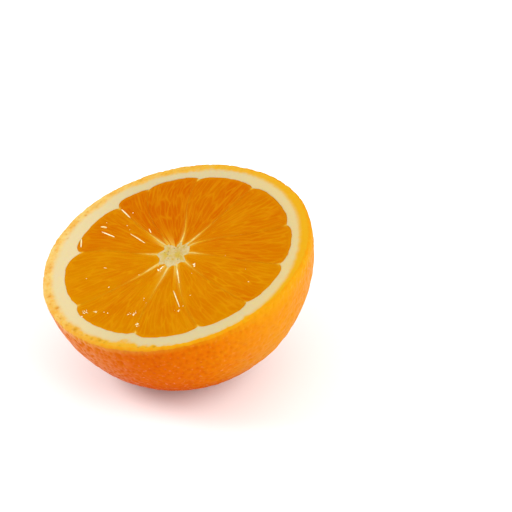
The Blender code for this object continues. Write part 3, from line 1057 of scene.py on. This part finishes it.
def build_membranes(sizes, colours):
    """Eleven thin skins that stand up between the segments.

    Each is a closed tube of nine points carried outwards along its membrane's line: a
    rounded crest, two straight sides and a hidden foot. It is thicker at the core and
    where it runs into the pith, and it wavers by a little noise.
    """
    points, quads, triangles, clearness = [], [], [], []
    start = 0
    turns = np.linspace(0.0, math.pi, 7)
    side_shape = np.concatenate([[1.0], np.cos(turns), [-1.0]])
    up_shape = np.concatenate([[0.0], np.sin(turns), [0.0]])
    count = len(side_shape)
    foot = np.isin(np.arange(count), (0, count - 1))
    for number in range(len(MEMBRANES)):
        first, last, clear = MEMBRANES[number, 3:6]
        radius = np.linspace(first - 0.8 * MM, last + 0.7 * MM, MEMBRANE_ROWS)
        line = radius / MM
        angle = membrane_angle(number, radius) + 0.10 * MM / radius * noise(line / 2.6, number, 101)
        into_core, into_pith = bump(radius - first, 3.2 * MM), bump(last - radius, 1.1 * MM)
        half = 0.5 * sizes.membrane_width * (0.65 + 0.5 * clear + 0.12 * into_core + 0.7 * into_pith)
        half = half * (1.0 + 0.25 * noise(line / 1.1, number, 102))
        x, y = radius * np.cos(angle), radius * np.sin(angle)
        shown = membrane_clear(number, radius)
        crest = BORDER_RISE - sizes.flesh_drop + sizes.membrane_rise * (0.35 * shown - 0.05)
        crest = crest + knife_wave(x, y)
        crest = crest + 0.015 * MM * noise(line / 1.6, number, 103) + 0.05 * MM * into_core
        crest = crest - 0.06 * MM * smooth_step((radius - last) / (0.6 * MM))
        sideways = half[:, None] * side_shape
        up = np.where(foot, 0.4 * MM - PIECE_DEPTH, crest[:, None] - 0.12 * MM * (1.0 - up_shape))
        tube = np.stack([
            x[:, None] - np.sin(angle)[:, None] * sideways,
            y[:, None] + np.cos(angle)[:, None] * sideways, up], axis=-1).reshape(-1, 3)
        points += [tube, [tube[:count].mean(axis=0), tube[-count:].mean(axis=0)]]
        quads.append(grid_faces(MEMBRANE_ROWS, count, start, True))
        end = start + len(tube)
        triangles += [
            fan_faces(start + np.arange(count)[::-1], end),
            fan_faces(end - count + np.arange(count), end + 1)]
        start = end + 2
        shown = shown * (0.85 + 0.15 * noise(line / 0.9, number, 104))
        clearness += [np.repeat(shown, count), shown[[0, -1]]]
    return new_piece(
        "orange_membranes", np.concatenate(points), np.concatenate(quads), np.concatenate(triangles),
        (membrane_material(colours),), sizes, {"clear": np.concatenate(clearness)})


def build_core(sizes, colours):
    """The spongy star in the middle.

    A polar grid reaches out to the segments' tips and along the membranes. Its top sinks
    towards the middle and carries pits and noise. A straight side and a fan close it.
    """
    floor = 0.1 * MM - PIECE_DEPTH
    columns = CORE_COLUMNS * len(SEGMENTS)
    segment, inner = np.divmod(np.arange(columns), CORE_COLUMNS)
    across = inner / CORE_COLUMNS
    share = np.linspace(0.0, 1.0, CORE_ROWS)[1:, None]
    low, high = membrane_angle(segment, PLAIN_CORE), membrane_angle(segment + 1, PLAIN_CORE)
    angle = blend(low, high, across)
    radius = share * (core_edge(segment, across) + 0.15 * MM)
    x, y = radius * np.cos(angle), radius * np.sin(angle)
    near, _, tone = cells(x / (0.75 * MM), y / (0.75 * MM), 111)
    hollow = (1.0 - smooth_step(near / 0.55)) * (tone > 0.45)
    near, _, tone = cells(x / (1.25 * MM), y / (1.25 * MM), 113)
    vessel = (1.0 - smooth_step((near - 0.08) / 0.16)) * (tone > 0.55) * (radius < 3.4 * MM)
    up = 0.10 * noise(x / (0.9 * MM), y / (0.9 * MM), 112) - blend(0.30, 0.12, share)
    up = MM * (up - 0.12 * hollow - 0.16 * smooth_step((share - 0.88) / 0.12)) + knife_wave(x, y)
    top = np.concatenate([[[0.0, 0.0, -0.30 * MM]], np.stack([x, y, up], axis=-1).reshape(-1, 3)])
    loop = np.arange(len(top) - columns, len(top))[::-1]
    under, sides, fan = closing(top, loop, floor, middle=(0.0, 0.0, floor))
    quads = np.concatenate([grid_faces(CORE_ROWS - 1, columns, 1, True)[:, ::-1], sides])
    outer = 0.8 * smooth_step((share - 0.50) / 0.4) * np.ones(columns)
    fields = {name: carried(np.append(0.0, values), loop) for name, values in (
        ("hollow", 0.25 * hollow), ("vessel", vessel), ("outer", outer))}
    return new_piece(
        "orange_core", np.concatenate([top, under]), quads,
        np.concatenate([fan_faces(1 + np.arange(columns), 0), fan]),
        (core_material(colours),), sizes, fields)


# Juice, with painted glints

# Streaks of juice along torn sacs and membranes, set where the wet face glints, their pale
# colour a painted highlight: both ends and the width, in millimetres
JUICE_GLINT_STREAKS = (
    (-13.8, 11.7, -9.3, 6.6, 0.40),
    (-21.6, 14.1, -18.1, 11.1, 0.44),
    (-22.1, 16.5, -20.6, 15.8, 0.55),
    (-16.4, 22.6, -14.1, 18.9, 0.42),
    (-8.1, 12.1, -7.4, 10.3, 0.40),
    (0.0, -16.2, 1.6, -22.0, 0.40),
    (0.6, -7.0, 1.3, -12.5, 0.30),
    (-27.7, 12.6, -27.6, 9.6, 0.45),
    (-20.6, -1.3, -19.2, -1.8, 0.30),
)

# Groups of small drops, set where the wet face sparkles, their pale colour a painted
# highlight: the middle and the reach in millimetres, then how many
JUICE_GLINT_GROUPS = (
    (-4.3, -5.8, 0.9, 14),
    (5.3, -6.3, 0.6, 7),
    (-11.2, -22.2, 1.0, 10),
    (-9.7, -26.6, 0.8, 12),
    (-24.5, -18.9, 1.3, 9),
    (-21.6, -19.0, 0.9, 6),
    (19.0, -11.5, 0.7, 7),
    (20.7, -16.8, 0.4, 3),
    (9.7, -19.0, 0.5, 4),
    (-25.0, -4.8, 0.4, 3),
    (-17.0, -20.0, 2.2, 6),
    (1.0, -24.0, 1.2, 6),
    (-12.0, 12.0, 9.0, 8),
    (-10.0, -14.0, 9.0, 10),
    (8.0, -12.0, 9.0, 6),
)


def drop_shape(rings, columns):
    """A flattened dome and its underside: rings of points round, from the top to the bottom."""
    angle = np.linspace(0.0, math.pi, rings + 1)[1:-1]
    around = np.arange(columns) * 2.0 * math.pi / columns
    body = polar(np.sin(angle)[:, None], around, np.cos(angle)[:, None]).reshape(-1, 3)
    points = np.concatenate([[[0.0, 0.0, 1.0]], body, [[0.0, 0.0, -1.0]]])
    quads = grid_faces(rings - 1, columns, 1, True)[:, ::-1]
    last = 1 + (rings - 2) * columns + np.arange(columns)
    triangles = np.concatenate([fan_faces(1 + np.arange(columns), 0), fan_faces(last[::-1], len(points) - 1)])
    return points, quads, triangles


def drop_places(sizes):
    """Middle, half length, half width, height and turn of each drop and streak, in metres."""
    rows = []
    for x0, y0, x1, y1, width in JUICE_GLINT_STREAKS:
        rows.append((
            (x0 + x1) / 2.0, (y0 + y1) / 2.0, 0.66 * math.hypot(x1 - x0, y1 - y0),
            width / 2.0, width * 0.7, math.atan2(y1 - y0, x1 - x0)))
    draw = np.random.RandomState(17)
    for x, y, reach, count in JUICE_GLINT_GROUPS:
        for _ in range(count):
            dx, dy = draw.normal(0.0, reach * 0.5, 2)
            size = sizes.drop_radius / MM * draw.uniform(0.35, 0.95)
            length, turn = size * draw.uniform(1.0, 1.9), draw.uniform(0.0, math.pi)
            rows.append((x + dx, y + dy, length, size, size * 0.8, turn))
    return np.array(rows) * (MM, MM, MM, MM, MM, 1.0)


def build_juice(sizes, colours):
    """Drops and streaks of juice on the cut face, pale as painted highlights: one drop shape stretched,
    turned and set down.
    """
    shape, quads, triangles = drop_shape(6, 10)
    places = drop_places(sizes)
    x, y, half_length, half_width, height, turn = places.T
    along = shape[None, :, 0] * half_length[:, None]
    sideways = shape[None, :, 1] * half_width[:, None]
    px = x[:, None] + along * np.cos(turn)[:, None] - sideways * np.sin(turn)[:, None]
    py = y[:, None] + along * np.sin(turn)[:, None] + sideways * np.cos(turn)[:, None]
    base = -0.22 * MM + knife_wave(x, y)
    pz = base[:, None] + shape[None, :, 2] * height[:, None]
    points = np.stack([px, py, pz], axis=-1).reshape(-1, 3)
    offsets = np.arange(len(places))[:, None, None] * len(shape)
    return new_piece(
        "orange_juice", points, (quads[None] + offsets).reshape(-1, 4),
        (triangles[None] + offsets).reshape(-1, 3), (juice_glint_material(colours),), sizes)


# Stage

def floor_material(stage):
    material = bpy.data.materials.new("pale_floor")
    material.use_nodes = True
    shader = material.node_tree.nodes["Principled BSDF"]
    shader.inputs["Base Color"].default_value = tuple(stage.floor)
    shader.inputs["Roughness"].default_value = 0.6
    shader.inputs["Specular IOR Level"].default_value = 0.2
    return material


def build_floor(stage):
    """One wide flat sheet at the height of the flat spot."""
    half = 4.0
    corners = [(x * half, y * half, 0.0) for x, y in ((-1, -1), (1, -1), (1, 1), (-1, 1))]
    mesh = bpy.data.meshes.new("floor")
    mesh.from_pydata(corners, [], [(0, 1, 2, 3)])
    mesh.materials.append(floor_material(stage))
    floor = bpy.data.objects.new("floor", mesh)
    bpy.context.scene.collection.objects.link(floor)


def add_area_light(name, place, side, power):
    """A white square light that faces the fruit."""
    light = bpy.data.lights.new(name, "AREA")
    light.shape = "SQUARE"
    light.size = side
    light.energy = power
    lamp = bpy.data.objects.new(name, light)
    lamp.location = place
    lamp.rotation_euler = (Vector((0.0, 0.0, 0.02)) - Vector(place)).to_track_quat("-Z", "Y").to_euler()
    bpy.context.scene.collection.objects.link(lamp)


def build_camera(sizes, stage):
    """Camera at the photograph's viewing angle, with the fruit's middle on its own pixel.

    With the distance in radii and the size in pixels, the lens is distance times size as a
    share of the picture's width. The camera then moves sideways and up, without turning.
    """
    half_picture = 256.0
    focal = stage.pixels_per_radius * stage.camera_radii
    middle = Vector((0.0, 0.0, math.sqrt(sizes.fruit_radius ** 2 - sizes.flat_spot_radius ** 2)))
    height = stage.camera_height
    forward = Vector((0.0, math.cos(height), -math.sin(height)))
    up = Vector((0.0, math.sin(height), math.cos(height)))
    right = Vector((1.0, 0.0, 0.0))
    radii = stage.camera_radii
    sideways = (stage.middle_column - half_picture) / focal * radii
    upwards = (half_picture - stage.middle_row) / focal * radii
    camera = bpy.data.cameras.new("camera")
    camera.sensor_width = 36.0
    camera.lens = focal * camera.sensor_width / (2.0 * half_picture)
    camera.clip_start = 0.01
    holder = bpy.data.objects.new("camera", camera)
    holder.location = middle - sizes.fruit_radius * (sideways * right + upwards * up + radii * forward)
    holder.rotation_euler = forward.to_track_quat("-Z", "Y").to_euler()
    bpy.context.scene.collection.objects.link(holder)
    bpy.context.scene.camera = holder


def build_surroundings(stage):
    world = bpy.data.worlds.new("pale_surroundings")
    world.use_nodes = True
    background = world.node_tree.nodes["Background"]
    background.inputs["Color"].default_value = (1.0, 1.0, 1.0, 1.0)
    background.inputs["Strength"].default_value = stage.surroundings
    bpy.context.scene.world = world
    bpy.context.scene.view_settings.view_transform = "Standard"


# Operators

def chosen(context):
    """The sizes and colours that the user has chosen."""
    return context.scene.orange_sizes, context.scene.orange_colours


class ORANGE_OT_peel(Operator):
    """Build the peel with its skin, cut edge and pith"""
    bl_idname = "orange.peel"
    bl_label = "Peel"

    def execute(self, context):
        build_peel(*chosen(context))
        return {"FINISHED"}


class ORANGE_OT_segments(Operator):
    """Build the segments of flesh"""
    bl_idname = "orange.segments"
    bl_label = "Segments"

    def execute(self, context):
        build_segments(*chosen(context))
        return {"FINISHED"}


class ORANGE_OT_membranes(Operator):
    """Build the membranes between the segments"""
    bl_idname = "orange.membranes"
    bl_label = "Membranes"

    def execute(self, context):
        build_membranes(*chosen(context))
        return {"FINISHED"}


class ORANGE_OT_core(Operator):
    """Build the spongy core"""
    bl_idname = "orange.core"
    bl_label = "Core"

    def execute(self, context):
        build_core(*chosen(context))
        return {"FINISHED"}


class ORANGE_OT_juice(Operator):
    """Build the drops and streaks of juice"""
    bl_idname = "orange.juice"
    bl_label = "Juice"

    def execute(self, context):
        build_juice(*chosen(context))
        return {"FINISHED"}


class ORANGE_OT_stage(Operator):
    """Build the floor, the lights, the surroundings and the camera"""
    bl_idname = "orange.stage"
    bl_label = "Stage"

    def execute(self, context):
        sizes, stage = context.scene.orange_sizes, context.scene.orange_stage
        build_floor(stage)
        build_surroundings(stage)
        add_area_light("left_light", LEFT_LIGHT, stage.left_size, stage.left_power)
        add_area_light("right_light", RIGHT_LIGHT, stage.right_size, stage.right_power)
        build_camera(sizes, stage)
        return {"FINISHED"}


class ORANGE_PT_panel(Panel):
    """Lists the pieces, the sizes, the colours and the stage"""
    bl_label = "Orange Half"
    bl_idname = "ORANGE_PT_panel"
    bl_space_type = "VIEW_3D"
    bl_region_type = "UI"
    bl_category = "Orange"

    def draw(self, context):
        layout = self.layout
        for piece in PIECES:
            layout.operator(piece.bl_idname)
        for group in (*chosen(context), context.scene.orange_stage):
            box = layout.box()
            for name in group.__annotations__:
                box.prop(group, name)


PIECES = (
    ORANGE_OT_peel, ORANGE_OT_segments, ORANGE_OT_membranes,
    ORANGE_OT_core, ORANGE_OT_juice, ORANGE_OT_stage,
)
GROUPS = (OrangeSizes, OrangeColours, OrangeStage)


def register():
    for group in GROUPS + PIECES + (ORANGE_PT_panel,):
        bpy.utils.register_class(group)
    bpy.types.Scene.orange_sizes = PointerProperty(type=OrangeSizes)
    bpy.types.Scene.orange_colours = PointerProperty(type=OrangeColours)
    bpy.types.Scene.orange_stage = PointerProperty(type=OrangeStage)


def unregister():
    del bpy.types.Scene.orange_stage
    del bpy.types.Scene.orange_colours
    del bpy.types.Scene.orange_sizes
    for group in reversed(GROUPS + PIECES + (ORANGE_PT_panel,)):
        bpy.utils.unregister_class(group)


def main():
    register()
    bpy.ops.orange.peel()
    bpy.ops.orange.segments()
    bpy.ops.orange.membranes()
    bpy.ops.orange.core()
    bpy.ops.orange.juice()
    bpy.ops.orange.stage()


if __name__ == "__main__":
    main()
